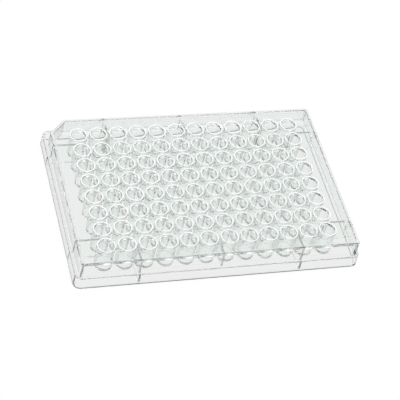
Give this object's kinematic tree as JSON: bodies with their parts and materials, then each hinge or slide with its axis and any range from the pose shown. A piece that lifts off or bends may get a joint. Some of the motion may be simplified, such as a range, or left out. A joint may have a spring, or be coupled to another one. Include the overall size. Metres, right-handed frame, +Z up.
{
  "type": "well plate",
  "caption": "Clear moulded lab plate with a grid of flat-bottomed wells, a stepped skirt to stand on and one cut corner that marks the first well.",
  "frame": {"origin": "middle of the footprint, on the surface the plate stands on", "axes": "+X along the rows from column 1 to column 12, +Y towards row A, +Z up out of the wells"},
  "size_m": [0.1278, 0.0854, 0.0142],
  "materials": {
    "clear_plastic": "clear, polished, faint grey-green tint"
  },
  "bodies": {
    "root": {"well_plate": "clear_plastic"}
  },
  "joints": []
}
